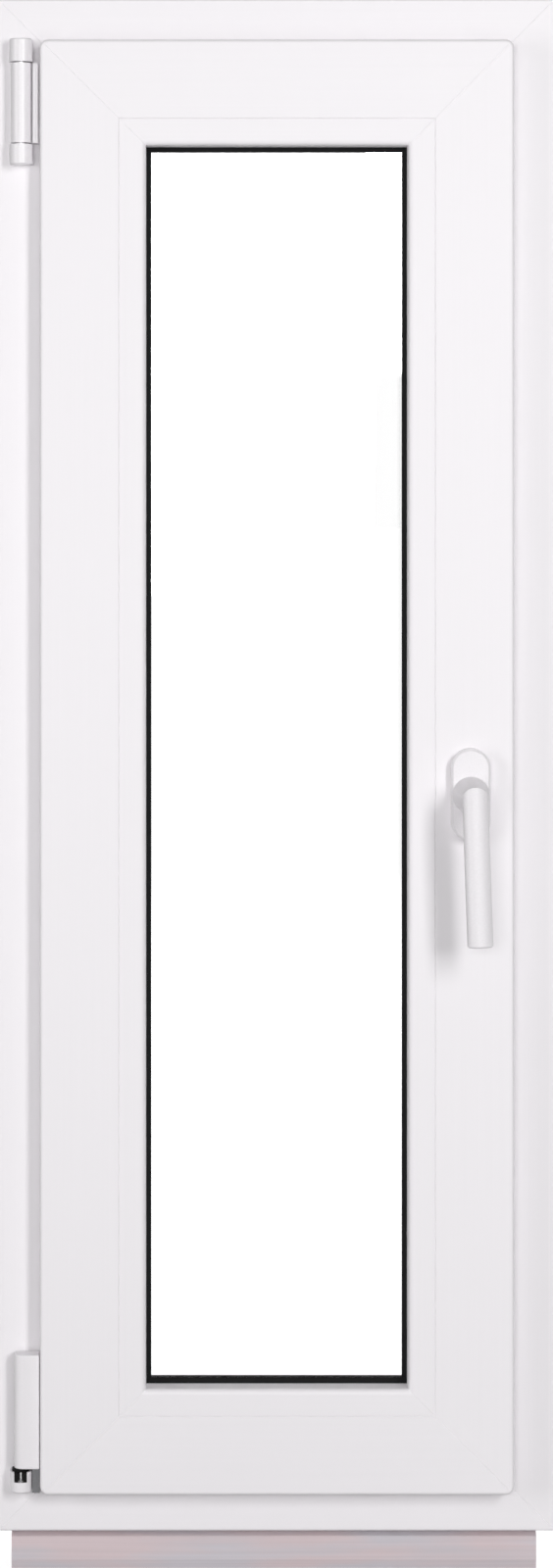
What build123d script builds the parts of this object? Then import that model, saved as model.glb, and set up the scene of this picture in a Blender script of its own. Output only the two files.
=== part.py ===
from build123d import *
import os

# PVC tilt-and-turn window on a sill connection profile, seen from the room side.
# X runs across the window, Y from the room to the outside and Z up, in millimetres.
# The origin is on the window's centre line, in the plane of the sill profile's underside.

# Outer frame
FRAME_WIDTH = 400.0
FRAME_HEIGHT = 1100.0
FRAME_DEPTH = 70.0
FRAME_BODY_WIDTH = 39.0
FRAME_LIP_WIDTH = 66.0
FRAME_LIP_DEPTH = 18.0
FRAME_EDGE_RADIUS = 1.5

# V groove that stays along a mitre when its weld is cleaned
WELD_GROOVE_SIDE = 0.4

# Bevel on the outer lips of the frame and the sash
LIP_BEVEL_WIDTH = 2.5
LIP_BEVEL_DEPTH = 5.0

# Anchor grooves round the outside of the frame
ANCHOR_GROOVE_WIDTH = 8.0
ANCHOR_GROOVE_DEPTH = 5.0
ANCHOR_GROOVE_INSET = 20.0

# Drain slots and their caps on the outside of the bottom rail
DRAIN_OFFSET = 110.0
DRAIN_HEIGHT = 20.0
DRAIN_SLOT_LENGTH = 28.0
DRAIN_SLOT_WIDTH = 5.0
DRAIN_SLOT_DEPTH = 8.0
DRAIN_CAP_LENGTH = 42.0
DRAIN_CAP_HEIGHT = 13.0
DRAIN_CAP_DEPTH = 6.5
DRAIN_CAP_WALL = 1.5
DRAIN_CAP_RADIUS = 2.0

# Sash
SASH_OVERLAP = 8.0
SASH_FLANGE_WIDTH = 20.0
SASH_FLANGE_DEPTH = 18.0
SASH_FACE_WIDTH = 56.3
SASH_LIP_DEPTH = 8.0
SASH_LIP_SETBACK = 6.0
SASH_CORNER_RADIUS = 6.0
SASH_EDGE_RADIUS = 2.5

# Gaskets
OVERLAP_GASKET_HEIGHT = 3.0
OVERLAP_GASKET_WIDTH = 3.2
OVERLAP_GASKET_INSET = 4.2
STOP_GASKET_HEIGHT = 3.0
STOP_GASKET_WIDTH = 9.0
STOP_GASKET_NOSE = 0.8
INSIDE_GASKET_HEIGHT = 3.0
OUTSIDE_GASKET_HEIGHT = 4.0
GLAZING_GASKET_SEAT = 8.0
GLAZING_GASKET_NOSE = 3.6
GLAZING_GASKET_EDGE = 1.0

# Glazing beads
BEAD_WIDTH = 19.2
BEAD_EDGE_RADIUS = 4.0
BEAD_JOINT_RADIUS = 0.6

# Sealed glass unit
PANE_THICKNESS = 4.0
PANE_NAMES = ("glass_inner_pane", "glass_middle_pane", "glass_outer_pane")
SPACER_NAMES = ("glass_inner_spacer", "glass_outer_spacer")
CAVITY_WIDTH = 12.0
GLASS_EDGE_GAP = 5.0
SPACER_HEIGHT = 9.0

# Sill connection profile
SILL_LENGTH = 378.0
SILL_SHIFT = -1.7
SILL_DEPTH = 50.0
SILL_HEIGHT = 30.0
SILL_WALL = 2.0
SILL_CHAMBERS = 3
SILL_NECK_HEIGHT = 1.5
SILL_NECK_RECESS = 8.0
SILL_SLOPE_HEIGHT = 5.0
SILL_FOOT_HEIGHT = 6.5
SILL_FOOT_RECESS = 1.5
SILL_RIB_CLEARANCE = 0.2
SILL_RIB_WIDTH_CLEARANCE = 0.3

# Handle
HANDLE_BACKSET = 31.5
HANDLE_ABOVE_SASH_EDGE = 500.0
ROSETTE_WIDTH = 28.0
ROSETTE_HEIGHT = 66.0
ROSETTE_THICKNESS = 10.0
ROSETTE_CHAMFER = 1.6
SPIGOT_RADIUS = 8.0
SPIGOT_LENGTH = 6.0
SPIGOT_CLEARANCE = 0.05
NECK_GAP = 0.3
NECK_RADIUS = 13.2
NECK_END_RADIUS = 6.6
GRIP_REACH = 52.0
GRIP_HEAD_MARGIN = 0.4
GRIP_DROP = 103.0
GRIP_LEAN_DEGREES = 2.0
GRIP_WIDTH = 18.2
GRIP_THICKNESS = 13.6
GRIP_SIDE_RADIUS = 4.5
GRIP_TIP = 1.2

# Hinge axis, measured from the frame's edge and from its room face
HINGE_INSET = 17.0
HINGE_STANDOFF = 9.5
HINGE_PLATE_THICKNESS = 1.6
LEAF_THICKNESS = 2.2
LEAF_CLEARANCE = 0.4
LEAF_INSERTION = 3.5
WEB_GAP = 1.4
WEB_WIDTH = 3.5
WEB_RISE = 1.0

# Upper hinge
UPPER_HINGE_HEIGHT = 90.0
UPPER_HINGE_RISE = 1.5
KNUCKLE_RADIUS = 8.3
UPPER_KNUCKLE_HEIGHT = 16.5
LOWER_KNUCKLE_HEIGHT = 14.5
KNUCKLE_CHAMFER = 0.8
BARREL_RADIUS = 7.2
BARREL_END_GAP = 0.95
UPPER_PIN_RADIUS = 3.0
UPPER_PIN_CAP = 5.0
PIN_CLEARANCE = 0.05

# Lower hinge
CUP_RADIUS = 7.8
CUP_HEIGHT = 15.0
CUP_CHAMFER = 1.2
CUP_FLOOR = 8.0
INSERT_WIDTH = 8.8
INSERT_CLEARANCE = 0.1
INSERT_SETBACK = 1.0
INSERT_SLOT_WIDTH = 3.4
COLLAR_RADIUS = 6.4
COLLAR_CLEARANCE = 0.2
LOWER_PIN_RADIUS = 1.5
LOWER_PIN_SEAT = 4.0
LOWER_PIN_LENGTH = 30.0
COVER_GAP = 2.4
COVER_HEIGHT = 81.5
COVER_WALL = 1.6
COVER_LEFT = 4.8
COVER_RIGHT = 13.4
COVER_DEPTH = 17.0
COVER_ROUND_RADIUS = 6.0
COVER_EDGE_RADIUS = 1.2
STRAP_WIDTH = 8.8
STRAP_HEIGHT = 66.0
STRAP_FRONT = 3.0
STRAP_ARM_DEPTH = 11.0
STRAP_ARM_DROP = 18.0
STRAP_CLEARANCE = 0.4

# Levels and planes that several pieces share
FRAME_BOTTOM = SILL_HEIGHT
FRAME_TOP = FRAME_BOTTOM + FRAME_HEIGHT
FRAME_MIDDLE = FRAME_BOTTOM + FRAME_HEIGHT / 2
ROOM_FACE = -FRAME_DEPTH / 2
OUTER_FACE = FRAME_DEPTH / 2
LIP_FACE = OUTER_FACE - FRAME_LIP_DEPTH
SASH_INSET = FRAME_BODY_WIDTH - SASH_OVERLAP
SASH_BACK_OF_FLANGE = ROOM_FACE - OVERLAP_GASKET_HEIGHT
SASH_ROOM_FACE = SASH_BACK_OF_FLANGE - SASH_FLANGE_DEPTH
SASH_OUTER_FACE = LIP_FACE - STOP_GASKET_HEIGHT
SASH_LIP_FACE = SASH_OUTER_FACE - SASH_LIP_DEPTH
REBATE_INSET = SASH_INSET + SASH_FACE_WIDTH
SIGHT_INSET = REBATE_INSET + BEAD_WIDTH
OUTER_SIGHT_INSET = SIGHT_INSET - SASH_LIP_SETBACK
MITRE_LENGTH = 2 * SIGHT_INSET
GLASS_INSET = REBATE_INSET + GLASS_EDGE_GAP
GLASS_OUTER_FACE = SASH_LIP_FACE - OUTSIDE_GASKET_HEIGHT
GLASS_DEPTH = len(PANE_NAMES) * PANE_THICKNESS + len(SPACER_NAMES) * CAVITY_WIDTH
GLASS_ROOM_FACE = GLASS_OUTER_FACE - GLASS_DEPTH
BEAD_BACK = GLASS_ROOM_FACE - INSIDE_GASKET_HEIGHT
SASH_LEFT = -FRAME_WIDTH / 2 + SASH_INSET
SASH_RIGHT = FRAME_WIDTH / 2 - SASH_INSET
SASH_BOTTOM = FRAME_BOTTOM + SASH_INSET
SASH_TOP = FRAME_TOP - SASH_INSET

# Outward direction of each side of the window
SIDES = {
    "top": Vector(0, 0, 1),
    "bottom": Vector(0, 0, -1),
    "hinge": Vector(-1, 0, 0),
    "handle": Vector(1, 0, 0),
}

os.makedirs("parts", exist_ok=True)


def write_piece(piece, name):
    """Label a finished piece and write it to its own file."""
    piece.part.label = name
    export_step(piece.part, f"parts/{name}.step")


def room_plane(y):
    """A plane across the window at depth y that looks into the room."""
    return Plane.XZ.offset(-y)


def axis_plane(x, y, z):
    """A level plane with its origin on a vertical axis."""
    return Plane.XY.move(Location((x, y, z)))


def mitre_planes(outward):
    """The planes that cut one side of a ring free at its corners and from the far side."""
    yield Plane((0, 0, FRAME_MIDDLE), z_dir=outward)
    along = outward.cross(Vector(0, 1, 0))
    for end in (along, -along):
        to_corner = outward + end
        corner = (to_corner.X * FRAME_WIDTH / 2, 0, FRAME_MIDDLE + to_corner.Z * FRAME_HEIGHT / 2)
        yield Plane(corner, z_dir=outward - end)


def weld_planes(depth):
    """Planes across the four mitres at one depth, with their origins on the window's corners."""
    for across in (-1, 1):
        for up in (-1, 1):
            corner = (across * FRAME_WIDTH / 2, depth, FRAME_MIDDLE + up * FRAME_HEIGHT / 2)
            yield Plane(corner, x_dir=(0, 1, 0), z_dir=(across, 0, up))


def cut_weld_grooves(*depths):
    """Cut the fine grooves along the mitres into the faces at the given depths."""
    with BuildSketch(*[plane for depth in depths for plane in weld_planes(depth)]) as ends:
        Rectangle(WELD_GROOVE_SIDE, WELD_GROOVE_SIDE, rotation=45)
    extrude(ends.sketch, amount=-MITRE_LENGTH, mode=Mode.SUBTRACT)


def write_members(ring, names):
    """Cut a ring at its mitres and write the member of each named side."""
    for side, name in names.items():
        with BuildPart() as member:
            add(ring.part)
            for plane in mitre_planes(SIDES[side]):
                split(bisect_by=plane, keep=Keep.TOP)
        write_piece(member, name)


# Ring sections are drawn across the hinge jamb: inset from the perimeter, then depth
SECTION_PLANE = axis_plane(-FRAME_WIDTH / 2, 0, FRAME_MIDDLE)
with BuildLine(Plane.XZ) as perimeter:
    Polyline(
        (-FRAME_WIDTH / 2, FRAME_MIDDLE),
        (-FRAME_WIDTH / 2, FRAME_BOTTOM),
        (FRAME_WIDTH / 2, FRAME_BOTTOM),
        (FRAME_WIDTH / 2, FRAME_TOP),
        (-FRAME_WIDTH / 2, FRAME_TOP),
        close=True,
    )
PERIMETER = perimeter.wires()[0]


def ring_from(outline):
    """Sweep a closed section outline round the window with mitred corners."""
    with BuildPart() as ring:
        with BuildSketch(SECTION_PLANE):
            with BuildLine():
                Polyline(*outline, close=True)
            make_face()
        sweep(path=PERIMETER, transition=Transition.RIGHT)
    return ring


# Outer frame: an L section with two anchor grooves, and drain slots in the bottom rail
GROOVE_OFFSET = FRAME_DEPTH / 2 - ANCHOR_GROOVE_INSET - ANCHOR_GROOVE_WIDTH / 2
GROOVE_DEPTHS = (-GROOVE_OFFSET, GROOVE_OFFSET)
with BuildPart() as frame_ring:
    with BuildSketch(SECTION_PLANE):
        with BuildLine():
            Polyline(
                (0, ROOM_FACE),
                (FRAME_BODY_WIDTH, ROOM_FACE),
                (FRAME_BODY_WIDTH, LIP_FACE),
                (FRAME_LIP_WIDTH, LIP_FACE),
                (FRAME_LIP_WIDTH, OUTER_FACE - LIP_BEVEL_DEPTH),
                (FRAME_LIP_WIDTH - LIP_BEVEL_WIDTH, OUTER_FACE),
                (0, OUTER_FACE),
                close=True,
            )
        room_edges = make_face().vertices().group_by(Axis.Y)[0]
        fillet(room_edges, FRAME_EDGE_RADIUS)
        with Locations(*[(0, depth) for depth in GROOVE_DEPTHS]):
            Rectangle(2 * ANCHOR_GROOVE_DEPTH, ANCHOR_GROOVE_WIDTH, mode=Mode.SUBTRACT)
    sweep(path=PERIMETER, transition=Transition.RIGHT)
    with BuildSketch(room_plane(OUTER_FACE)):
        with Locations(*[(x, FRAME_BOTTOM + DRAIN_HEIGHT) for x in (-DRAIN_OFFSET, DRAIN_OFFSET)]):
            SlotOverall(DRAIN_SLOT_LENGTH, DRAIN_SLOT_WIDTH)
    extrude(amount=DRAIN_SLOT_DEPTH, mode=Mode.SUBTRACT)
    cut_weld_grooves(ROOM_FACE, OUTER_FACE)
write_members(frame_ring, {
    "top": "frame_head",
    "bottom": "frame_bottom_rail",
    "hinge": "frame_hinge_jamb",
    "handle": "frame_handle_jamb",
})

# Drain caps: two hoods over the slots, open below
with BuildPart() as drain_caps:
    hood_level = FRAME_BOTTOM + DRAIN_HEIGHT - DRAIN_CAP_HEIGHT / 2
    with BuildSketch(axis_plane(0, OUTER_FACE + DRAIN_CAP_DEPTH / 2, hood_level)):
        with Locations((-DRAIN_OFFSET, 0), (DRAIN_OFFSET, 0)):
            Rectangle(DRAIN_CAP_LENGTH, DRAIN_CAP_DEPTH)
    extrude(amount=DRAIN_CAP_HEIGHT)
    outer_side = drain_caps.faces().group_by(Axis.Y)[-1]
    fillet(outer_side.edges().group_by(Axis.Z)[-1], DRAIN_CAP_RADIUS)
    with BuildSketch(axis_plane(0, OUTER_FACE + (DRAIN_CAP_DEPTH - DRAIN_CAP_WALL) / 2, hood_level)):
        with Locations((-DRAIN_OFFSET, 0), (DRAIN_OFFSET, 0)):
            Rectangle(DRAIN_CAP_LENGTH - 2 * DRAIN_CAP_WALL, DRAIN_CAP_DEPTH - DRAIN_CAP_WALL)
    extrude(amount=DRAIN_CAP_HEIGHT - DRAIN_CAP_WALL, mode=Mode.SUBTRACT)
write_piece(drain_caps, "drain_caps")

# Sill connection profile: a chambered extrusion with a slanted foot, sloping shoulders, a low neck
# and two ribs that sit in the frame's grooves
SILL_NECK_LEVEL = SILL_HEIGHT - SILL_NECK_HEIGHT
SILL_SHOULDER = SILL_NECK_LEVEL - SILL_SLOPE_HEIGHT
SILL_NECK_DEPTH = SILL_DEPTH - 2 * SILL_NECK_RECESS
with BuildPart() as sill_profile:
    with BuildSketch(Plane.YZ.offset(SILL_SHIFT)):
        with BuildLine():
            Polyline(
                (-SILL_DEPTH / 2 + SILL_FOOT_RECESS, 0),
                (-SILL_DEPTH / 2, SILL_FOOT_HEIGHT),
                (-SILL_DEPTH / 2, SILL_SHOULDER),
                (-SILL_NECK_DEPTH / 2, SILL_NECK_LEVEL),
                (-SILL_NECK_DEPTH / 2, SILL_HEIGHT),
                (SILL_NECK_DEPTH / 2, SILL_HEIGHT),
                (SILL_NECK_DEPTH / 2, SILL_NECK_LEVEL),
                (SILL_DEPTH / 2, SILL_SHOULDER),
                (SILL_DEPTH / 2, 0),
                close=True,
            )
        make_face()
        rib_height = ANCHOR_GROOVE_DEPTH - SILL_RIB_CLEARANCE
        rib_width = ANCHOR_GROOVE_WIDTH - 2 * SILL_RIB_WIDTH_CLEARANCE
        with Locations(*[(depth, SILL_HEIGHT) for depth in GROOVE_DEPTHS]):
            Rectangle(rib_width, rib_height, align=(Align.CENTER, Align.MIN))
        chambers_depth = SILL_DEPTH - SILL_FOOT_RECESS - SILL_WALL
        chamber_pitch = chambers_depth / SILL_CHAMBERS
        with Locations((SILL_FOOT_RECESS / 2, SILL_SHOULDER / 2)):
            with GridLocations(chamber_pitch, 0, SILL_CHAMBERS, 1):
                Rectangle(chamber_pitch - SILL_WALL, SILL_SHOULDER - 2 * SILL_WALL, mode=Mode.SUBTRACT)
    extrude(amount=SILL_LENGTH / 2, both=True)
write_piece(sill_profile, "sill_profile")

# Sash: overlap flange on the room side, body in the frame and a glazing lip outside
with BuildPart() as sash_ring:
    with BuildSketch(SECTION_PLANE):
        with BuildLine():
            Polyline(
                (SASH_INSET, SASH_ROOM_FACE),
                (REBATE_INSET - BEAD_JOINT_RADIUS, SASH_ROOM_FACE),
                (REBATE_INSET, SASH_ROOM_FACE + BEAD_JOINT_RADIUS),
                (REBATE_INSET, SASH_LIP_FACE),
                (OUTER_SIGHT_INSET, SASH_LIP_FACE),
                (OUTER_SIGHT_INSET, SASH_OUTER_FACE - LIP_BEVEL_DEPTH),
                (OUTER_SIGHT_INSET - LIP_BEVEL_WIDTH, SASH_OUTER_FACE),
                (SASH_INSET + SASH_FLANGE_WIDTH, SASH_OUTER_FACE),
                (SASH_INSET + SASH_FLANGE_WIDTH, SASH_BACK_OF_FLANGE),
                (SASH_INSET, SASH_BACK_OF_FLANGE),
                close=True,
            )
        make_face()
    sweep(path=PERIMETER, transition=Transition.RIGHT)
    depth_edges = sash_ring.edges().filter_by(Axis.Y)
    corners = depth_edges.group_by(Axis.X)[0] + depth_edges.group_by(Axis.X)[-1]
    fillet(corners, SASH_CORNER_RADIUS)
    room_face = sash_ring.faces().sort_by(Axis.Y)[0]
    fillet(room_face.outer_wire().edges(), SASH_EDGE_RADIUS)
    cut_weld_grooves(SASH_ROOM_FACE, SASH_OUTER_FACE)
write_members(sash_ring, {
    "top": "sash_top_rail",
    "bottom": "sash_bottom_rail",
    "hinge": "sash_hinge_stile",
    "handle": "sash_handle_stile",
})

# Gasket under the sash flange
overlap_start = SASH_INSET + OVERLAP_GASKET_INSET
overlap_gasket = ring_from([
    (overlap_start, ROOM_FACE),
    (overlap_start + OVERLAP_GASKET_WIDTH, ROOM_FACE),
    (overlap_start + OVERLAP_GASKET_WIDTH, SASH_BACK_OF_FLANGE),
    (overlap_start, SASH_BACK_OF_FLANGE),
])
write_piece(overlap_gasket, "sash_overlap_gasket")

# Gasket on the frame's outer lip, with a nose that shows outside
stop_gasket = ring_from([
    (FRAME_LIP_WIDTH + STOP_GASKET_NOSE - STOP_GASKET_WIDTH, SASH_OUTER_FACE),
    (FRAME_LIP_WIDTH + STOP_GASKET_NOSE, SASH_OUTER_FACE),
    (FRAME_LIP_WIDTH, LIP_FACE),
    (FRAME_LIP_WIDTH + STOP_GASKET_NOSE - STOP_GASKET_WIDTH, LIP_FACE),
])
write_piece(stop_gasket, "frame_stop_gasket")

# Glazing beads
with BuildPart() as bead_ring:
    with BuildSketch(SECTION_PLANE):
        with BuildLine():
            Polyline(
                (REBATE_INSET, BEAD_BACK),
                (REBATE_INSET, SASH_ROOM_FACE),
                (SIGHT_INSET, SASH_ROOM_FACE),
                (SIGHT_INSET, BEAD_BACK),
                close=True,
            )
        make_face()
        room_corners = vertices().group_by(Axis.Y)[0].sort_by(Axis.X)
        fillet(room_corners[0], BEAD_JOINT_RADIUS)
        fillet(vertices().group_by(Axis.Y)[0].sort_by(Axis.X)[-1], BEAD_EDGE_RADIUS)
    sweep(path=PERIMETER, transition=Transition.RIGHT)
    cut_weld_grooves(SASH_ROOM_FACE)
write_members(bead_ring, {
    "top": "bead_top",
    "bottom": "bead_bottom",
    "hinge": "bead_hinge_side",
    "handle": "bead_handle_side",
})


def glazing_gasket(sight, seat, glass):
    """A gasket between a seat and the glass, with a sloping nose beyond the sight line."""
    edge = glass + GLAZING_GASKET_EDGE * (1 if seat > glass else -1)
    return ring_from([
        (sight - GLAZING_GASKET_SEAT, seat),
        (sight, seat),
        (sight + GLAZING_GASKET_NOSE, edge),
        (sight + GLAZING_GASKET_NOSE, glass),
        (sight - GLAZING_GASKET_SEAT, glass),
    ])


write_piece(glazing_gasket(SIGHT_INSET, BEAD_BACK, GLASS_ROOM_FACE), "glazing_gasket_inside")
write_piece(glazing_gasket(OUTER_SIGHT_INSET, SASH_LIP_FACE, GLASS_OUTER_FACE), "glazing_gasket_outside")

# Sealed glass unit: panes with a black spacer ring in each cavity
GLASS_WIDTH = FRAME_WIDTH - 2 * GLASS_INSET
GLASS_HEIGHT = FRAME_HEIGHT - 2 * GLASS_INSET
CLEAR_WIDTH = GLASS_WIDTH - 2 * SPACER_HEIGHT
CLEAR_HEIGHT = GLASS_HEIGHT - 2 * SPACER_HEIGHT
for index, name in enumerate(PANE_NAMES):
    pane_face = GLASS_ROOM_FACE + index * (PANE_THICKNESS + CAVITY_WIDTH)
    with BuildPart() as pane:
        with BuildSketch(room_plane(pane_face + PANE_THICKNESS)):
            with Locations((0, FRAME_MIDDLE)):
                Rectangle(GLASS_WIDTH, GLASS_HEIGHT)
        extrude(amount=PANE_THICKNESS)
    write_piece(pane, name)
for index, name in enumerate(SPACER_NAMES):
    cavity_face = GLASS_ROOM_FACE + PANE_THICKNESS + index * (PANE_THICKNESS + CAVITY_WIDTH)
    with BuildPart() as spacer:
        with BuildSketch(room_plane(cavity_face + CAVITY_WIDTH)):
            with Locations((0, FRAME_MIDDLE)):
                Rectangle(GLASS_WIDTH, GLASS_HEIGHT)
                Rectangle(CLEAR_WIDTH, CLEAR_HEIGHT, mode=Mode.SUBTRACT)
        extrude(amount=CAVITY_WIDTH)
    write_piece(spacer, name)

# Handle rosette: a rounded plate with a bore for the grip's spigot
HANDLE_X = SASH_RIGHT - HANDLE_BACKSET
HANDLE_Z = SASH_BOTTOM + HANDLE_ABOVE_SASH_EDGE
ROSETTE_FRONT = SASH_ROOM_FACE - ROSETTE_THICKNESS
with BuildPart() as handle_rosette:
    with BuildSketch(room_plane(SASH_ROOM_FACE)):
        with Locations((HANDLE_X, HANDLE_Z)):
            SlotOverall(ROSETTE_HEIGHT, ROSETTE_WIDTH, rotation=90)
    extrude(amount=ROSETTE_THICKNESS)
    chamfer(handle_rosette.faces().sort_by(Axis.Y)[0].edges(), ROSETTE_CHAMFER)
    with BuildSketch(room_plane(ROSETTE_FRONT)):
        with Locations((HANDLE_X, HANDLE_Z)):
            Circle(SPIGOT_RADIUS + SPIGOT_CLEARANCE)
    extrude(amount=-SPIGOT_LENGTH, mode=Mode.SUBTRACT)
write_piece(handle_rosette, "handle_rosette")

# Handle grip: an oval bar with a round head on a conical neck, hanging slightly off plumb
NECK_START = ROSETTE_THICKNESS + NECK_GAP
NECK_AXIS = Axis((HANDLE_X, SASH_ROOM_FACE, HANDLE_Z), (0, -1, 0))
NECK_SIDE = Plane((HANDLE_X, SASH_ROOM_FACE, HANDLE_Z), x_dir=(0, -1, 0), z_dir=(-1, 0, 0))
HEAD_RADIUS = GRIP_WIDTH / 2 + GRIP_HEAD_MARGIN
HEAD_CENTRE = (HANDLE_X, SASH_ROOM_FACE - GRIP_REACH, HANDLE_Z)
ACROSS_GRIP = Vector(1, 0, 0).rotate(Axis.Y, -GRIP_LEAN_DEGREES)
DOWN_GRIP = Vector(0, 0, -1).rotate(Axis.Y, -GRIP_LEAN_DEGREES)
HEAD_PLANE = Plane(HEAD_CENTRE, x_dir=ACROSS_GRIP, z_dir=DOWN_GRIP)
# The radius of the bar's face follows from its width, its thickness and its side radius
FACE_RUN = (GRIP_WIDTH / 2 - GRIP_SIDE_RADIUS) ** 2 + (GRIP_THICKNESS / 2) ** 2 - GRIP_SIDE_RADIUS**2
GRIP_FACE_RADIUS = FACE_RUN / (GRIP_THICKNESS - 2 * GRIP_SIDE_RADIUS)
FACE_ARC_OFFSET = GRIP_FACE_RADIUS - GRIP_THICKNESS / 2
with BuildPart() as handle_grip:
    with BuildSketch(HEAD_PLANE.offset(-GRIP_WIDTH)) as oval:
        with Locations((0, FACE_ARC_OFFSET)):
            Circle(GRIP_FACE_RADIUS)
        with Locations((0, -FACE_ARC_OFFSET)):
            Circle(GRIP_FACE_RADIUS, mode=Mode.INTERSECT)
        fillet(oval.vertices(), GRIP_SIDE_RADIUS)
    extrude(amount=GRIP_WIDTH + GRIP_DROP)
    chamfer(handle_grip.faces().sort_by(Axis.Z)[0].edges(), GRIP_TIP)
    with BuildSketch(Plane(HEAD_CENTRE, x_dir=ACROSS_GRIP, z_dir=(0, -1, 0))):
        Circle(HEAD_RADIUS)
        Rectangle(2 * HEAD_RADIUS, 2 * GRIP_DROP, align=(Align.CENTER, Align.MAX))
    extrude(amount=GRIP_THICKNESS, both=True, mode=Mode.INTERSECT)
    with BuildSketch(NECK_SIDE):
        with BuildLine():
            Polyline(
                (NECK_START, 0),
                (NECK_START, NECK_RADIUS),
                (GRIP_REACH, NECK_END_RADIUS),
                (GRIP_REACH, 0),
                close=True,
            )
        make_face()
    revolve(axis=NECK_AXIS)
    with BuildSketch(room_plane(ROSETTE_FRONT - NECK_GAP)):
        with Locations((HANDLE_X, HANDLE_Z)):
            Circle(SPIGOT_RADIUS)
    extrude(amount=-SPIGOT_LENGTH)
write_piece(handle_grip, "handle_grip")

# Hinge axis and the leaf space between the sash flange and the frame
HINGE_X = -FRAME_WIDTH / 2 + HINGE_INSET
HINGE_Y = ROOM_FACE - HINGE_STANDOFF
LEAF_BACK = -LEAF_CLEARANCE + HINGE_STANDOFF
LEAF_END = SASH_LEFT + LEAF_INSERTION - HINGE_X

# Upper hinge bracket: a plate on the frame with a knuckle at each end
UPPER_HINGE_TOP = SASH_TOP + UPPER_HINGE_RISE
UPPER_HINGE_BOTTOM = UPPER_HINGE_TOP - UPPER_HINGE_HEIGHT
KNUCKLES = (
    (UPPER_HINGE_BOTTOM, LOWER_KNUCKLE_HEIGHT),
    (UPPER_HINGE_TOP - UPPER_KNUCKLE_HEIGHT, UPPER_KNUCKLE_HEIGHT),
)
with BuildPart() as upper_hinge_bracket:
    for level, height in KNUCKLES:
        with BuildSketch(axis_plane(HINGE_X, HINGE_Y, level)):
            Circle(KNUCKLE_RADIUS)
            Rectangle(2 * KNUCKLE_RADIUS, HINGE_STANDOFF, align=(Align.CENTER, Align.MIN))
        extrude(amount=height)
    knuckle_ends = upper_hinge_bracket.faces().sort_by(Axis.Z)
    chamfer(knuckle_ends[0].edges() + knuckle_ends[-1].edges(), KNUCKLE_CHAMFER)
    with BuildSketch(axis_plane(HINGE_X, ROOM_FACE, UPPER_HINGE_BOTTOM + LOWER_KNUCKLE_HEIGHT)):
        Rectangle(KNUCKLE_RADIUS, HINGE_PLATE_THICKNESS, align=(Align.MAX, Align.MAX))
    extrude(amount=UPPER_HINGE_HEIGHT - LOWER_KNUCKLE_HEIGHT - UPPER_KNUCKLE_HEIGHT)
    with BuildSketch(axis_plane(HINGE_X, HINGE_Y, UPPER_HINGE_BOTTOM)):
        Circle(UPPER_PIN_RADIUS + PIN_CLEARANCE)
    extrude(amount=UPPER_HINGE_HEIGHT - UPPER_PIN_CAP, mode=Mode.SUBTRACT)
write_piece(upper_hinge_bracket, "upper_hinge_bracket")

# Upper hinge barrel with the leaf that reaches under the sash flange and its web beside the sash
BARREL_BOTTOM = UPPER_HINGE_BOTTOM + LOWER_KNUCKLE_HEIGHT + BARREL_END_GAP
BARREL_HEIGHT = UPPER_HINGE_HEIGHT - LOWER_KNUCKLE_HEIGHT - UPPER_KNUCKLE_HEIGHT - 2 * BARREL_END_GAP
with BuildPart() as upper_hinge_barrel:
    with BuildSketch(axis_plane(HINGE_X, HINGE_Y, BARREL_BOTTOM)):
        Circle(BARREL_RADIUS)
        Rectangle(BARREL_RADIUS, LEAF_BACK, align=(Align.MIN, Align.MIN))
        with Locations((0, LEAF_BACK)):
            Rectangle(LEAF_END, LEAF_THICKNESS, align=(Align.MIN, Align.MAX))
        with Locations((BARREL_RADIUS + WEB_GAP, LEAF_BACK)):
            Rectangle(WEB_WIDTH, LEAF_BACK + WEB_RISE, align=(Align.MIN, Align.MAX))
        Circle(UPPER_PIN_RADIUS + PIN_CLEARANCE, mode=Mode.SUBTRACT)
    extrude(amount=BARREL_HEIGHT)
write_piece(upper_hinge_barrel, "upper_hinge_barrel")

# Upper hinge pin
with BuildPart() as upper_hinge_pin:
    with BuildSketch(axis_plane(HINGE_X, HINGE_Y, UPPER_HINGE_BOTTOM)):
        Circle(UPPER_PIN_RADIUS)
    extrude(amount=UPPER_HINGE_HEIGHT - UPPER_PIN_CAP)
write_piece(upper_hinge_pin, "upper_hinge_pin")

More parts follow.
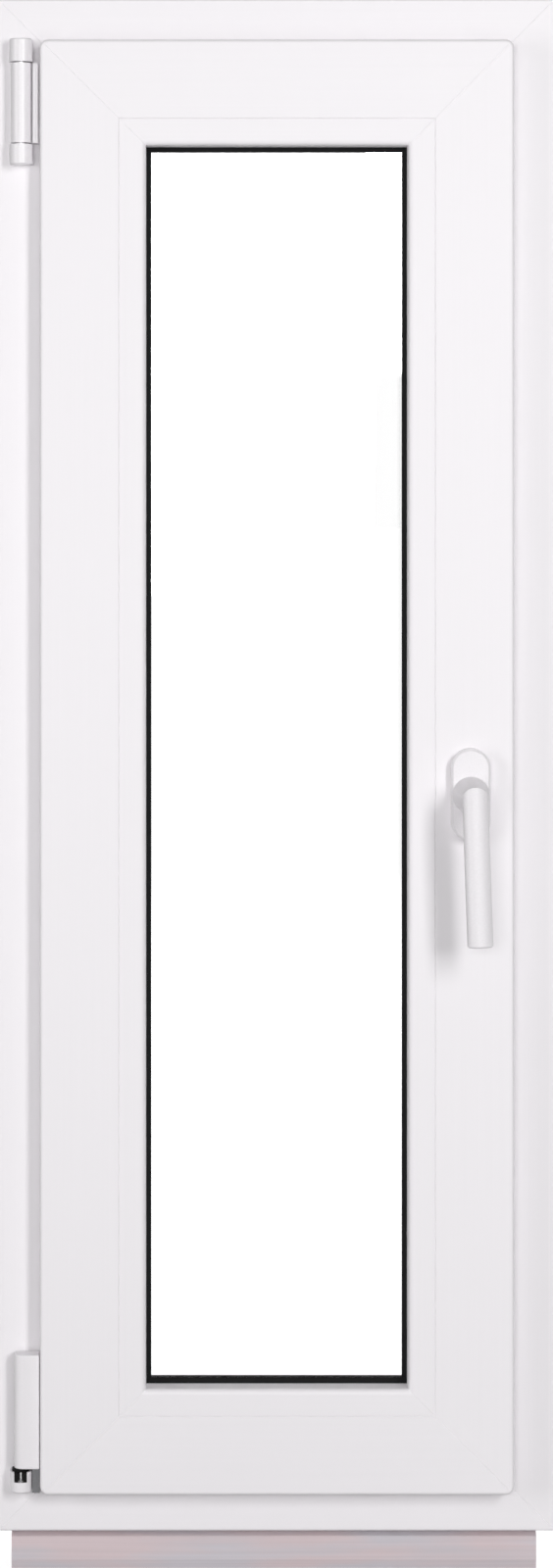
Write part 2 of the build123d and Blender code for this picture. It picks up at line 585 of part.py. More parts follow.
# Lower hinge bearing: a cup on the frame, notched at the front for the insert
CUP_BOTTOM = SASH_BOTTOM
CUP_TOP = CUP_BOTTOM + CUP_HEIGHT
NOTCH_BACK = INSERT_WIDTH / 2
NOTCH_WIDTH = INSERT_WIDTH + 2 * INSERT_CLEARANCE
with BuildPart() as lower_hinge_bearing:
    with BuildSketch(axis_plane(HINGE_X, HINGE_Y, CUP_BOTTOM)):
        Circle(CUP_RADIUS)
        Rectangle(2 * CUP_RADIUS, HINGE_STANDOFF, align=(Align.CENTER, Align.MIN))
    extrude(amount=CUP_HEIGHT)
    chamfer(lower_hinge_bearing.faces().sort_by(Axis.Z)[0].edges(), CUP_CHAMFER)
    with BuildSketch(axis_plane(HINGE_X, HINGE_Y, CUP_BOTTOM + CUP_FLOOR)):
        with Locations((0, NOTCH_BACK)):
            Rectangle(NOTCH_WIDTH, NOTCH_BACK + CUP_RADIUS, align=(Align.CENTER, Align.MAX))
    extrude(amount=CUP_HEIGHT - CUP_FLOOR, mode=Mode.SUBTRACT)
    with BuildSketch(axis_plane(HINGE_X, HINGE_Y, CUP_BOTTOM + CUP_FLOOR - LOWER_PIN_SEAT)):
        Circle(LOWER_PIN_RADIUS + PIN_CLEARANCE)
    extrude(amount=LOWER_PIN_SEAT, mode=Mode.SUBTRACT)
write_piece(lower_hinge_bearing, "lower_hinge_bearing")

# Black insert in the cup's notch, slotted for the pin, with a collar under the cover
COVER_BOTTOM = CUP_TOP + COVER_GAP
with BuildPart() as lower_hinge_insert:
    with BuildSketch(axis_plane(HINGE_X, HINGE_Y, CUP_BOTTOM + CUP_FLOOR)):
        with Locations((0, NOTCH_BACK - INSERT_CLEARANCE)):
            insert_depth = NOTCH_BACK - INSERT_CLEARANCE + CUP_RADIUS - INSERT_SETBACK
            Rectangle(INSERT_WIDTH, insert_depth, align=(Align.CENTER, Align.MAX))
        with Locations((0, INSERT_SLOT_WIDTH / 2)):
            Rectangle(INSERT_SLOT_WIDTH, INSERT_SLOT_WIDTH / 2 + CUP_RADIUS, align=(Align.CENTER, Align.MAX),
                      mode=Mode.SUBTRACT)
    extrude(amount=CUP_HEIGHT - CUP_FLOOR + COLLAR_CLEARANCE)
    with BuildSketch(axis_plane(HINGE_X, HINGE_Y, CUP_TOP + COLLAR_CLEARANCE)):
        Circle(COLLAR_RADIUS)
        Circle(LOWER_PIN_RADIUS + PIN_CLEARANCE, mode=Mode.SUBTRACT)
    extrude(amount=COVER_GAP - 2 * COLLAR_CLEARANCE)
write_piece(lower_hinge_insert, "lower_hinge_insert")

# Lower hinge pin
LOWER_PIN_BOTTOM = CUP_BOTTOM + CUP_FLOOR - LOWER_PIN_SEAT
with BuildPart() as lower_hinge_pin:
    with BuildSketch(axis_plane(HINGE_X, HINGE_Y, LOWER_PIN_BOTTOM)):
        Circle(LOWER_PIN_RADIUS)
    extrude(amount=LOWER_PIN_LENGTH)
write_piece(lower_hinge_pin, "lower_hinge_pin")

# Lower hinge strap: a bar on the pin, a leaf under the sash flange and an arm beside the cup
STRAP_BOTTOM = COVER_BOTTOM + COVER_WALL + STRAP_CLEARANCE
STRAP_LEFT = COVER_LEFT - COVER_WALL - STRAP_CLEARANCE
ARM_BOTTOM = COVER_BOTTOM - STRAP_ARM_DROP
ARM_LEFT = CUP_RADIUS + STRAP_CLEARANCE
ARM_RIGHT = SASH_LEFT - HINGE_X - STRAP_CLEARANCE
with BuildPart() as lower_hinge_strap:
    with BuildSketch(axis_plane(HINGE_X, HINGE_Y, STRAP_BOTTOM)):
        with Locations((-STRAP_LEFT, -STRAP_FRONT)):
            Rectangle(STRAP_WIDTH, STRAP_FRONT + LEAF_BACK, align=(Align.MIN, Align.MIN))
        with Locations((0, LEAF_BACK)):
            Rectangle(LEAF_END, LEAF_THICKNESS, align=(Align.MIN, Align.MAX))
    extrude(amount=STRAP_HEIGHT)
    with BuildSketch(axis_plane(HINGE_X, HINGE_Y, ARM_BOTTOM)):
        with Locations((ARM_LEFT, LEAF_BACK)):
            Rectangle(LEAF_END - ARM_LEFT, LEAF_THICKNESS, align=(Align.MIN, Align.MAX))
    extrude(amount=STRAP_BOTTOM - ARM_BOTTOM)
    with BuildSketch(axis_plane(HINGE_X, HINGE_Y, ARM_BOTTOM)):
        with Locations((ARM_LEFT, LEAF_BACK)):
            Rectangle(ARM_RIGHT - ARM_LEFT, STRAP_ARM_DEPTH, align=(Align.MIN, Align.MAX))
    extrude(amount=STRAP_ARM_DROP - STRAP_CLEARANCE)
    with BuildSketch(axis_plane(HINGE_X, HINGE_Y, STRAP_BOTTOM)):
        Circle(LOWER_PIN_RADIUS + PIN_CLEARANCE)
    extrude(amount=LOWER_PIN_BOTTOM + LOWER_PIN_LENGTH - STRAP_BOTTOM, mode=Mode.SUBTRACT)
write_piece(lower_hinge_strap, "lower_hinge_strap")

# Lower hinge cover: a cap over the strap, rounded on the frame side and open at the back
COVER_BACK = LEAF_BACK - LEAF_THICKNESS - STRAP_CLEARANCE
COVER_WIDTH = COVER_LEFT + COVER_RIGHT
COVER_FRONT_TO_BACK = COVER_DEPTH - HINGE_STANDOFF + COVER_BACK
with BuildPart() as lower_hinge_cover:
    with BuildSketch(axis_plane(HINGE_X, HINGE_Y, COVER_BOTTOM)):
        with Locations((-COVER_LEFT, COVER_BACK)):
            Rectangle(COVER_WIDTH, COVER_FRONT_TO_BACK, align=(Align.MIN, Align.MAX))
        front_corners = vertices().group_by(Axis.Y)[0].sort_by(Axis.X)
        fillet(front_corners[0], COVER_ROUND_RADIUS)
    extrude(amount=COVER_HEIGHT)
    cover_ends = lower_hinge_cover.faces().filter_by(Axis.Z)
    edge_limit = HINGE_Y + COVER_BACK - COVER_EDGE_RADIUS
    fillet([edge for edge in cover_ends.edges() if edge.center().Y < edge_limit], COVER_EDGE_RADIUS)
    with BuildSketch(axis_plane(HINGE_X, HINGE_Y, COVER_BOTTOM + COVER_WALL)):
        with Locations((COVER_WALL - COVER_LEFT, COVER_BACK)):
            hollow_width = COVER_WIDTH - 2 * COVER_WALL
            Rectangle(hollow_width, COVER_FRONT_TO_BACK - COVER_WALL, align=(Align.MIN, Align.MAX))
        hollow_corners = vertices().group_by(Axis.Y)[0].sort_by(Axis.X)
        fillet(hollow_corners[0], COVER_ROUND_RADIUS - COVER_WALL)
    extrude(amount=COVER_HEIGHT - 2 * COVER_WALL, mode=Mode.SUBTRACT)
    with BuildSketch(axis_plane(HINGE_X, HINGE_Y, COVER_BOTTOM)):
        Circle(LOWER_PIN_RADIUS + PIN_CLEARANCE)
    extrude(amount=COVER_WALL, mode=Mode.SUBTRACT)
write_piece(lower_hinge_cover, "lower_hinge_cover")
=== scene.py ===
import math
from collections import namedtuple

import bpy
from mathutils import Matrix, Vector


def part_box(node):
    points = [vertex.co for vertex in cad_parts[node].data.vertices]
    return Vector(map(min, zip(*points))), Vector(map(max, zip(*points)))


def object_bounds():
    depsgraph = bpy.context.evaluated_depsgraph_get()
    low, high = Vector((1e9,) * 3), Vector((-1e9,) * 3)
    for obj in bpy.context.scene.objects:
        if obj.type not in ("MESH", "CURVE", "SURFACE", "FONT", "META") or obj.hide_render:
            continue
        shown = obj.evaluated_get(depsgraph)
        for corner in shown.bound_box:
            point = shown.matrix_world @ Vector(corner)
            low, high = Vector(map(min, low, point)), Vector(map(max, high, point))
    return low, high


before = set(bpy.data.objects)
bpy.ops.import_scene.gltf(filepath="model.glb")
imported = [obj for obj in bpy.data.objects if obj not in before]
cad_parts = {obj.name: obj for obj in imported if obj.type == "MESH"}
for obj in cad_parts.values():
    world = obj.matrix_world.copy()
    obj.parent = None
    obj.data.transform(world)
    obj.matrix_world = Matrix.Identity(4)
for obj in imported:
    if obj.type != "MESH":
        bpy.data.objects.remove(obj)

bl_info = {
    "name": "PVC Window",
    "version": (1, 0, 0),
    "blender": (4, 5, 0),
    "location": "View3D > Sidebar > Window",
    "description": "Dresses a tilt-and-turn PVC window and sets it on a white stage",
    "category": "Object",
}

CAD_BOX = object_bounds()
MM = 0.001

# The photograph's frame and where the window lies in it, in pixels
IMAGE_WIDTH = 564
IMAGE_HEIGHT = 1600
FRAME_TOP_ROW = -0.8
FRAME_BOTTOM_ROW = 1562.2
FRAME_CENTRE_COLUMN = 282.0
EYE_COLUMN = 204.0
EYE_ROW = 464.0
SENSOR_MM = 36.0

# The floor lies just under the window, and its glow towards the eye keeps it white
FLOOR_DROP = 0.5 * MM
FLOOR_SIDES = 96
FLOOR_GLOW = 0.88

# Nearly all of a noise texture's values lie between these two
NOISE_LOW = 0.3
NOISE_HIGH = 0.7

# How far a grain moves the roughness to either side
ROUGHNESS_SPREAD = 0.04

# Sockets of a Mix node by number, because several of them share a name
MIX_FACTOR = 0
MIX_FLOAT_A = 2
MIX_FLOAT_B = 3
MIX_COLOUR_A = 6
MIX_COLOUR_B = 7
MIX_COLOUR_RESULT = 2

# Lamps round the window: degrees to the right of the room side and above the level, then distance,
# width and height in metres
Lamp = namedtuple("Lamp", "name side rise distance width height")
FRONT_LAMP = Lamp("front_softbox", -6.0, 6.0, 4.5, 1.5, 1.0)
KEY_LAMP = Lamp("key_strip", 24.0, 14.5, 3.0, 0.5, 1.2)
SIDE_LAMP = Lamp("side_strip", -54.0, 4.0, 3.0, 0.5, 2.0)
BACK_LAMP = Lamp("back_softbox", 160.0, 22.0, 4.0, 2.4, 2.4)

# Members by the direction in which they were extruded
LEVEL_MEMBERS = (
    "frame_head", "frame_bottom_rail", "sash_top_rail", "sash_bottom_rail", "bead_top", "bead_bottom",
)
UPRIGHT_MEMBERS = (
    "frame_hinge_jamb", "frame_handle_jamb", "sash_hinge_stile", "sash_handle_stile",
    "bead_hinge_side", "bead_handle_side",
)
GASKETS = ("frame_stop_gasket", "sash_overlap_gasket", "glazing_gasket_inside", "glazing_gasket_outside")
SPACERS = ("glass_inner_spacer", "glass_outer_spacer")
PANES = ("glass_inner_pane", "glass_middle_pane", "glass_outer_pane")
HANDLE_PIECES = ("handle_rosette", "handle_grip")
HINGE_CAPS = ("upper_hinge_bracket", "upper_hinge_barrel", "lower_hinge_bearing", "lower_hinge_cover")
HINGE_PINS = ("upper_hinge_pin", "lower_hinge_pin")


def linear(hex_colour):
    """Turn an sRGB hex colour into the linear colour that shaders use."""
    channels = [int(hex_colour[i:i + 2], 16) / 255 for i in (1, 3, 5)]
    return [c / 12.92 if c <= 0.04045 else ((c + 0.055) / 1.055) ** 2.4 for c in channels] + [1.0]


def colour_property(name, description, hex_colour):
    """A colour that a user may change."""
    return bpy.props.FloatVectorProperty(
        name=name, description=description, subtype="COLOR", size=4, min=0.0, max=1.0,
        default=linear(hex_colour))


def length_property(name, description, metres):
    """A size in metres that a user may change."""
    return bpy.props.FloatProperty(
        name=name, description=description, unit="LENGTH", min=0.0, default=metres)


def power_property(name, description, watts):
    """A lamp's power that a user may change."""
    return bpy.props.FloatProperty(
        name=name, description=description, unit="POWER", min=0.0, default=watts)


class WindowFinish(bpy.types.PropertyGroup):
    """Colours and pattern sizes of the window's materials."""

    pvc_colour: colour_property("PVC", "White of the extruded profiles", "#F3F0F3")
    sill_colour: colour_property("Sill", "Grey of the recycled sill profile", "#CDC8CE")
    sill_patch_colour: colour_property("Sill patches", "Warm patches in the sill profile", "#D6C6C9")
    gasket_colour: colour_property("Gasket", "Black of the rubber gaskets", "#0C0C0D")
    spacer_colour: colour_property("Spacer", "Black of the glass spacers", "#080809")
    glass_colour: colour_property("Glass", "Tint of the clear panes", "#FFFFFF")
    coat_colour: colour_property("Handle", "White of the handle's powder coat", "#F1EEF1")
    cap_colour: colour_property("Hinge caps", "White of the moulded hinge caps", "#F1EEF1")
    zinc_colour: colour_property("Zinc", "Grey of the plated strap", "#68686A")
    steel_colour: colour_property("Steel", "Grey of the bright pins", "#F2F2F3")
    insert_colour: colour_property("Insert", "Black of the bearing insert", "#060606")
    # Real drawing lines are a few tenths of a millimetre apart: these are coarser, so that they show
    streak_width: length_property("Streak width", "Spacing of the lines along a profile", 1.6 * MM)
    streak_length: length_property("Streak length", "Length of the lines along a profile", 240 * MM)
    patch_length: length_property("Patch length", "Length of the sill's warm patches", 90 * MM)
    patch_height: length_property("Patch height", "Height of the sill's warm patches", 14 * MM)
    smear_size: length_property("Smear size", "Size of the wiping marks on the glass", 70 * MM)
    peel_size: length_property("Peel size", "Size of the dimples in the powder coat", 1.2 * MM)
    # Real mould grain is about a tenth of a millimetre: this is coarser, so that it shows
    grain_size: length_property("Mould grain", "Size of the grain on moulded plastic", 0.8 * MM)


class WindowStage(bpy.types.PropertyGroup):
    """Lamps, floor and camera."""

    floor_radius: length_property("Floor radius", "Radius of the white floor", 40.0)
    camera_distance: length_property("Camera distance", "From the frame's room face to the camera", 2.8)
    front_power: power_property("Front power", "Power of the softbox in front of the window", 50.0)
    key_power: power_property("Key power", "Power of the strip at the upper right", 37.0)
    side_power: power_property("Side power", "Power of the strip far to the left", 23.0)
    back_power: power_property("Back power", "Power of the softbox outside the window", 125.0)
    sky_strength: bpy.props.FloatProperty(
        name="Sky", description="Strength of the soft light from all round", min=0.0, default=0.14)


def add_node(tree, kind, inputs=None, **settings):
    """Add a shader node, set its properties, and set or link its inputs."""
    node = tree.nodes.new(kind)
    for name, value in settings.items():
        setattr(node, name, value)
    for socket, value in (inputs or {}).items():
        if isinstance(value, bpy.types.NodeSocket):
            tree.links.new(value, node.inputs[socket])
        else:
            node.inputs[socket].default_value = value
    return node


def new_material(name):
    """A material with an empty node tree and its output."""
    material = bpy.data.materials.new(name)
    material.use_nodes = True
    material.node_tree.nodes.clear()
    output = add_node(material.node_tree, "ShaderNodeOutputMaterial")
    return material, material.node_tree, output


def finish_surface(tree, output, shader):
    """Link a shader to the material output."""
    tree.links.new(shader.outputs[0], output.inputs["Surface"])


def assign(material, *nodes):
    """Give a material to CAD nodes."""
    for name in nodes:
        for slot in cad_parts[name].material_slots:
            slot.material = material


def extruded_pvc(name, colour, scale):
    """White PVC drawn through a polished die: satin, with very faint lines along the profile."""
    material, tree, output = new_material(name)
    place = add_node(tree, "ShaderNodeTexCoord")
    lines = add_node(tree, "ShaderNodeMapping", {"Vector": place.outputs["Object"], "Scale": scale})
    streaks = add_node(tree, "ShaderNodeTexNoise", {
        "Vector": lines.outputs[0], "Scale": 1.0, "Detail": 3.0})
    shade = add_node(tree, "ShaderNodeMapRange", {
        "Value": streaks.outputs["Fac"], "From Min": NOISE_LOW, "From Max": NOISE_HIGH,
        "To Min": 0.988, "To Max": 1.0})
    paint = add_node(tree, "ShaderNodeMix", {
        MIX_FACTOR: 1.0, MIX_COLOUR_A: colour, MIX_COLOUR_B: shade.outputs[0]},
        data_type="RGBA", blend_type="MULTIPLY")
    rough = add_node(tree, "ShaderNodeMapRange", {
        "Value": streaks.outputs["Fac"], "From Min": NOISE_LOW, "From Max": NOISE_HIGH,
        "To Min": 0.46, "To Max": 0.54})
    bump = add_node(tree, "ShaderNodeBump", {
        "Height": streaks.outputs["Fac"], "Strength": 0.04, "Distance": 0.05 * MM})
    shader = add_node(tree, "ShaderNodeBsdfPrincipled", {
        "Base Color": paint.outputs[MIX_COLOUR_RESULT], "Roughness": rough.outputs[0],
        "Normal": bump.outputs[0], "IOR": 1.53})
    finish_surface(tree, output, shader)
    return material


def recycled_pvc(look):
    """Recycled PVC drawn through a plain die: dull grey, with warm patches and fine lines along it."""
    material, tree, output = new_material("recycled_pvc")
    place = add_node(tree, "ShaderNodeTexCoord")
    drawn = add_node(tree, "ShaderNodeMapping", {
        "Vector": place.outputs["Object"],
        "Scale": (1.0 / look.patch_length, 1.0 / look.patch_height, 1.0 / look.patch_height)})
    patches = add_node(tree, "ShaderNodeTexNoise", {
        "Vector": drawn.outputs[0], "Scale": 1.0, "Detail": 2.0})
    share = add_node(tree, "ShaderNodeMapRange", {
        "Value": patches.outputs["Fac"], "From Min": 0.38, "From Max": 0.62,
        "To Min": 0.0, "To Max": 1.0})
    body = add_node(tree, "ShaderNodeMix", {
        MIX_FACTOR: share.outputs[0], MIX_COLOUR_A: list(look.sill_colour),
        MIX_COLOUR_B: list(look.sill_patch_colour)}, data_type="RGBA")
    lines = add_node(tree, "ShaderNodeMapping", {
        "Vector": place.outputs["Object"],
        "Scale": (1.0 / look.streak_length, 1.0 / look.streak_width, 1.0 / look.streak_width)})
    streaks = add_node(tree, "ShaderNodeTexNoise", {
        "Vector": lines.outputs[0], "Scale": 1.0, "Detail": 3.0})
    shade = add_node(tree, "ShaderNodeMapRange", {
        "Value": streaks.outputs["Fac"], "From Min": NOISE_LOW, "From Max": NOISE_HIGH,
        "To Min": 0.92, "To Max": 1.0})
    paint = add_node(tree, "ShaderNodeMix", {
        MIX_FACTOR: 1.0, MIX_COLOUR_A: body.outputs[MIX_COLOUR_RESULT], MIX_COLOUR_B: shade.outputs[0]},
        data_type="RGBA", blend_type="MULTIPLY")
    bump = add_node(tree, "ShaderNodeBump", {
        "Height": streaks.outputs["Fac"], "Strength": 0.08, "Distance": 0.05 * MM})
    shader = add_node(tree, "ShaderNodeBsdfPrincipled", {
        "Base Color": paint.outputs[MIX_COLOUR_RESULT], "Roughness": 0.52,
        "Normal": bump.outputs[0], "IOR": 1.53})
    finish_surface(tree, output, shader)
    return material


def grained(name, colour, grain, depth, roughness, metallic=0.0, shine=0.5, tone=0.04):
    """A surface with an all-over fine grain, at the default IOR, which suits plastic, paint and rubber."""
    material, tree, output = new_material(name)
    place = add_node(tree, "ShaderNodeTexCoord")
    dots = add_node(tree, "ShaderNodeTexNoise", {
        "Vector": place.outputs["Object"], "Scale": 1.0 / grain, "Detail": 2.0})
    shade = add_node(tree, "ShaderNodeMapRange", {
        "Value": dots.outputs["Fac"], "From Min": NOISE_LOW, "From Max": NOISE_HIGH,
        "To Min": 1.0 - tone, "To Max": 1.0})
    paint = add_node(tree, "ShaderNodeMix", {
        MIX_FACTOR: 1.0, MIX_COLOUR_A: list(colour), MIX_COLOUR_B: shade.outputs[0]},
        data_type="RGBA", blend_type="MULTIPLY")
    rough = add_node(tree, "ShaderNodeMapRange", {
        "Value": dots.outputs["Fac"], "From Min": NOISE_LOW, "From Max": NOISE_HIGH,
        "To Min": roughness - ROUGHNESS_SPREAD, "To Max": roughness + ROUGHNESS_SPREAD})
    bump = add_node(tree, "ShaderNodeBump", {
        "Height": dots.outputs["Fac"], "Strength": 0.2, "Distance": depth})
    shader = add_node(tree, "ShaderNodeBsdfPrincipled", {
        "Base Color": paint.outputs[MIX_COLOUR_RESULT], "Roughness": rough.outputs[0],
        "Normal": bump.outputs[0], "Metallic": metallic, "Specular IOR Level": shine})
    finish_surface(tree, output, shader)
    return material


def moulded_drain_caps(look):
    """Injection-moulded PVC: the profiles' white, with an even satin grain instead of lines."""
    return grained(
        "moulded_drain_caps", look.pvc_colour, grain=look.grain_size, depth=0.02 * MM, roughness=0.35)


def gasket_rubber(look):
    """Extruded EPDM rubber: dull black with a faint bloom, so that it hardly shines."""
    # Bloom is a fine dust: its grain is drawn coarser, so that it shows
    return grained(
        "gasket_rubber", look.gasket_colour, grain=0.6 * MM, depth=0.03 * MM, roughness=0.7,
        shine=0.15, tone=0.2)


def warm_edge_spacer(look):
    """Filled plastic spacer: flat black, so that the glass edge reads as a dark line."""
    # The filler is finer than this: its grain is drawn coarser, so that it shows
    return grained(
        "warm_edge_spacer", look.spacer_colour, grain=0.5 * MM, depth=0.02 * MM, roughness=0.7,
        shine=0.1, tone=0.2)


def powder_coated_aluminium(look):
    """Powder coat baked on cast aluminium: satin white with a faint orange peel."""
    return grained(
        "powder_coated_aluminium", look.coat_colour, grain=look.peel_size, depth=0.01 * MM, roughness=0.36)


def moulded_hinge_caps(look):
    """Injection-moulded ABS: satin white that shows soft bands of light on its round sides."""
    return grained(
        "moulded_hinge_caps", look.cap_colour, grain=look.grain_size, depth=0.02 * MM, roughness=0.32)


def black_nylon(look):
    """Moulded black nylon: flat and dark, so that the slots round the pin read black."""
    return grained(
        "black_nylon", look.insert_colour, grain=look.grain_size, depth=0.02 * MM, roughness=0.6,
        shine=0.1)


def zinc_plated_steel(look):
    """Zinc-plated steel strip: dull grey metal with the mottled skin of its plating."""
    return grained(
        "zinc_plated_steel", look.zinc_colour, grain=1.5 * MM, depth=0.02 * MM, roughness=0.42,
        metallic=1.0, tone=0.18)


def bright_steel(look):
    """Ground steel rod: light grey metal with a broad soft shine."""
    # Grinding marks are much finer than this: their grain is drawn coarser, so that it shows
    return grained(
        "bright_steel", look.steel_colour, grain=0.8 * MM, depth=0.01 * MM, roughness=0.45,
        metallic=1.0, tone=0.08)


def float_glass(look):
    """Clear float glass: fire-smooth and colourless, with hardly visible marks from its last wipe."""
    material, tree, output = new_material("clear_float_glass")
    place = add_node(tree, "ShaderNodeTexCoord")
    smears = add_node(tree, "ShaderNodeTexNoise", {
        "Vector": place.outputs["Object"], "Scale": 1.0 / look.smear_size, "Detail": 3.0})
    film = add_node(tree, "ShaderNodeMapRange", {
        "Value": smears.outputs["Fac"], "From Min": 0.4, "From Max": NOISE_HIGH,
        "To Min": 0.0, "To Max": 0.015})
    shader = add_node(tree, "ShaderNodeBsdfPrincipled", {
        "Base Color": list(look.glass_colour), "Roughness": film.outputs[0], "IOR": 1.52,
        "Transmission Weight": 1.0})
    finish_surface(tree, output, shader)
    return material


def eye_paths(tree):
    """Tell rays straight from the eye, and those that it follows in a mirror or through glass."""
    path = add_node(tree, "ShaderNodeLightPath")
    bent = add_node(tree, "ShaderNodeMath", {
        0: path.outputs["Is Glossy Ray"], 1: path.outputs["Is Transmission Ray"]}, operation="MAXIMUM")
    return path.outputs["Is Camera Ray"], bent.outputs[0]


class WINDOW_OT_dress_profiles(bpy.types.Operator):
    """Give the frame, sash and beads their extruded white PVC"""
    bl_idname = "window.dress_profiles"
    bl_label = "Dress Profiles"

    def execute(self, context):
        look = context.scene.window_finish
        across = 1.0 / look.streak_width
        along = 1.0 / look.streak_length
        white = list(look.pvc_colour)
        assign(extruded_pvc("white_pvc_level", white, (along, across, across)), *LEVEL_MEMBERS)
        assign(extruded_pvc("white_pvc_upright", white, (across, across, along)), *UPRIGHT_MEMBERS)
        assign(moulded_drain_caps(look), "drain_caps")
        return {"FINISHED"}


class WINDOW_OT_dress_sill(bpy.types.Operator):
    """Give the sill profile its streaky recycled PVC"""
    bl_idname = "window.dress_sill"
    bl_label = "Dress Sill Profile"

    def execute(self, context):
        assign(recycled_pvc(context.scene.window_finish), "sill_profile")
        return {"FINISHED"}


class WINDOW_OT_dress_seals(bpy.types.Operator):
    """Give the gaskets and spacers their black"""
    bl_idname = "window.dress_seals"
    bl_label = "Dress Seals"

    def execute(self, context):
        look = context.scene.window_finish
        assign(gasket_rubber(look), *GASKETS)
        assign(warm_edge_spacer(look), *SPACERS)
        return {"FINISHED"}


class WINDOW_OT_dress_glass(bpy.types.Operator):
    """Give the panes their clear float glass"""
    bl_idname = "window.dress_glass"
    bl_label = "Dress Glass"

    def execute(self, context):
        assign(float_glass(context.scene.window_finish), *PANES)
        return {"FINISHED"}


class WINDOW_OT_dress_handle(bpy.types.Operator):
    """Give the handle its white powder coat"""
    bl_idname = "window.dress_handle"
    bl_label = "Dress Handle"

    def execute(self, context):
        assign(powder_coated_aluminium(context.scene.window_finish), *HANDLE_PIECES)
        return {"FINISHED"}


class WINDOW_OT_dress_hinges(bpy.types.Operator):
    """Give the hinges their white caps, black insert and plated steel"""
    bl_idname = "window.dress_hinges"
    bl_label = "Dress Hinges"

    def execute(self, context):
        look = context.scene.window_finish
        assign(moulded_hinge_caps(look), *HINGE_CAPS)
        assign(black_nylon(look), "lower_hinge_insert")
        assign(zinc_plated_steel(look), "lower_hinge_strap")
        assign(bright_steel(look), *HINGE_PINS)
        return {"FINISHED"}


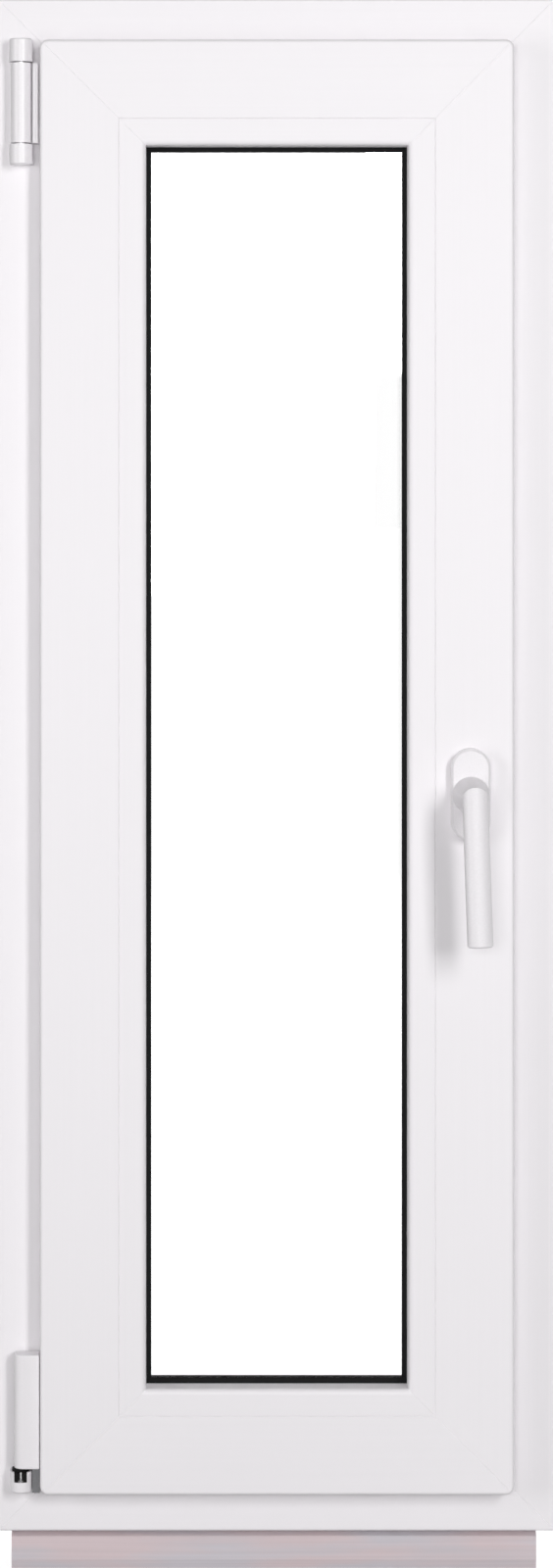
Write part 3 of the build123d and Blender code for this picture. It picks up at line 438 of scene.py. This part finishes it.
class WINDOW_OT_set_stage(bpy.types.Operator):
    """Set the floor, the sky, the lamps and the camera"""
    bl_idname = "window.set_stage"
    bl_label = "Set Stage"

    def execute(self, context):
        scene = context.scene
        stage = scene.window_stage
        scene.view_settings.view_transform = "Standard"
        self.make_floor(stage)
        self.make_sky(scene, stage)
        self.make_lamp(FRONT_LAMP, stage.front_power)
        self.make_lamp(KEY_LAMP, stage.key_power)
        self.make_lamp(SIDE_LAMP, stage.side_power)
        self.make_lamp(BACK_LAMP, stage.back_power)
        self.make_camera(scene, stage)
        return {"FINISHED"}

    def make_floor(self, stage):
        """A wide white disc under the window that keeps a soft shadow."""
        bpy.ops.object.select_all(action="DESELECT")
        bpy.ops.mesh.primitive_circle_add(
            vertices=FLOOR_SIDES, radius=stage.floor_radius, fill_type="NGON",
            location=(0, 0, CAD_BOX[0].z - FLOOR_DROP))
        floor = bpy.context.object
        floor.name = "white_floor"
        material, tree, output = new_material("white_floor")
        straight, bent = eye_paths(tree)
        lift = add_node(tree, "ShaderNodeMath", {0: straight, 1: FLOOR_GLOW}, operation="MULTIPLY")
        seen = add_node(tree, "ShaderNodeMath", {0: lift.outputs[0], 1: bent}, operation="MAXIMUM")
        glow = add_node(tree, "ShaderNodeEmission", {
            "Color": linear("#FFFFFF"), "Strength": seen.outputs[0]})
        paint = add_node(tree, "ShaderNodeBsdfDiffuse", {"Color": linear("#A8A8A8")})
        both = add_node(tree, "ShaderNodeAddShader", {0: glow.outputs[0], 1: paint.outputs[0]})
        finish_surface(tree, output, both)
        floor.data.materials.append(material)

    def make_sky(self, scene, stage):
        """White to the eye, and a soft even light for everything else."""
        world = bpy.data.worlds.new("white_sky")
        world.use_nodes = True
        tree = world.node_tree
        tree.nodes.clear()
        output = add_node(tree, "ShaderNodeOutputWorld")
        straight, bent = eye_paths(tree)
        seen = add_node(tree, "ShaderNodeMath", {0: straight, 1: bent}, operation="MAXIMUM")
        strength = add_node(tree, "ShaderNodeMix", {
            MIX_FACTOR: seen.outputs[0], MIX_FLOAT_A: stage.sky_strength, MIX_FLOAT_B: 1.0},
            data_type="FLOAT")
        glow = add_node(tree, "ShaderNodeBackground", {
            "Color": linear("#FFFFFF"), "Strength": strength.outputs[0]})
        tree.links.new(glow.outputs[0], output.inputs["Surface"])
        scene.world = world

    def make_lamp(self, lamp, watts):
        """A flat lamp that is aimed at the window's middle."""
        middle = (CAD_BOX[0] + CAD_BOX[1]) / 2
        side = math.radians(lamp.side)
        rise = math.radians(lamp.rise)
        level = math.cos(rise)
        towards = Vector((math.sin(side) * level, -math.cos(side) * level, math.sin(rise)))
        bpy.ops.object.light_add(type="AREA", location=middle + towards * lamp.distance)
        light = bpy.context.object
        light.name = lamp.name
        light.rotation_euler = towards.to_track_quat("Z", "Y").to_euler()
        light.visible_camera = False
        light.data.shape = "RECTANGLE"
        light.data.size = lamp.width
        light.data.size_y = lamp.height
        light.data.energy = watts

    def make_camera(self, scene, stage):
        """The photograph's view: level and square to the window, with the eye up and to the left."""
        face_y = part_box("frame_head")[0].y
        frame_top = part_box("frame_head")[1].z
        frame_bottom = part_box("frame_bottom_rail")[0].z
        pixels_per_metre = (FRAME_BOTTOM_ROW - FRAME_TOP_ROW) / (frame_top - frame_bottom)
        eye_x = (EYE_COLUMN - FRAME_CENTRE_COLUMN) / pixels_per_metre
        eye_z = frame_top - (EYE_ROW - FRAME_TOP_ROW) / pixels_per_metre
        bpy.ops.object.camera_add(
            location=(eye_x, face_y - stage.camera_distance, eye_z), rotation=(math.pi / 2, 0, 0))
        camera = bpy.context.object
        camera.name = "photo_camera"
        camera.data.sensor_width = SENSOR_MM
        camera.data.lens = pixels_per_metre * stage.camera_distance / IMAGE_HEIGHT * SENSOR_MM
        camera.data.shift_x = (IMAGE_WIDTH / 2 - EYE_COLUMN) / IMAGE_HEIGHT
        camera.data.shift_y = (EYE_ROW - IMAGE_HEIGHT / 2) / IMAGE_HEIGHT
        scene.camera = camera


class WINDOW_PT_sidebar(bpy.types.Panel):
    """Sizes, colours and steps of the window"""
    bl_label = "PVC Window"
    bl_space_type = "VIEW_3D"
    bl_region_type = "UI"
    bl_category = "Window"

    def draw(self, context):
        for group in (context.scene.window_finish, context.scene.window_stage):
            for name in group.__annotations__:
                self.layout.prop(group, name)
        for operator in OPERATORS:
            self.layout.operator(operator.bl_idname)


OPERATORS = (
    WINDOW_OT_dress_profiles,
    WINDOW_OT_dress_sill,
    WINDOW_OT_dress_seals,
    WINDOW_OT_dress_glass,
    WINDOW_OT_dress_handle,
    WINDOW_OT_dress_hinges,
    WINDOW_OT_set_stage,
)
CLASSES = (WindowFinish, WindowStage, *OPERATORS, WINDOW_PT_sidebar)


def register():
    for cls in CLASSES:
        bpy.utils.register_class(cls)
    bpy.types.Scene.window_finish = bpy.props.PointerProperty(type=WindowFinish)
    bpy.types.Scene.window_stage = bpy.props.PointerProperty(type=WindowStage)


def unregister():
    del bpy.types.Scene.window_stage
    del bpy.types.Scene.window_finish
    for cls in reversed(CLASSES):
        bpy.utils.unregister_class(cls)


def main():
    register()
    bpy.ops.window.dress_profiles()
    bpy.ops.window.dress_sill()
    bpy.ops.window.dress_seals()
    bpy.ops.window.dress_glass()
    bpy.ops.window.dress_handle()
    bpy.ops.window.dress_hinges()
    bpy.ops.window.set_stage()


if __name__ == "__main__":
    main()
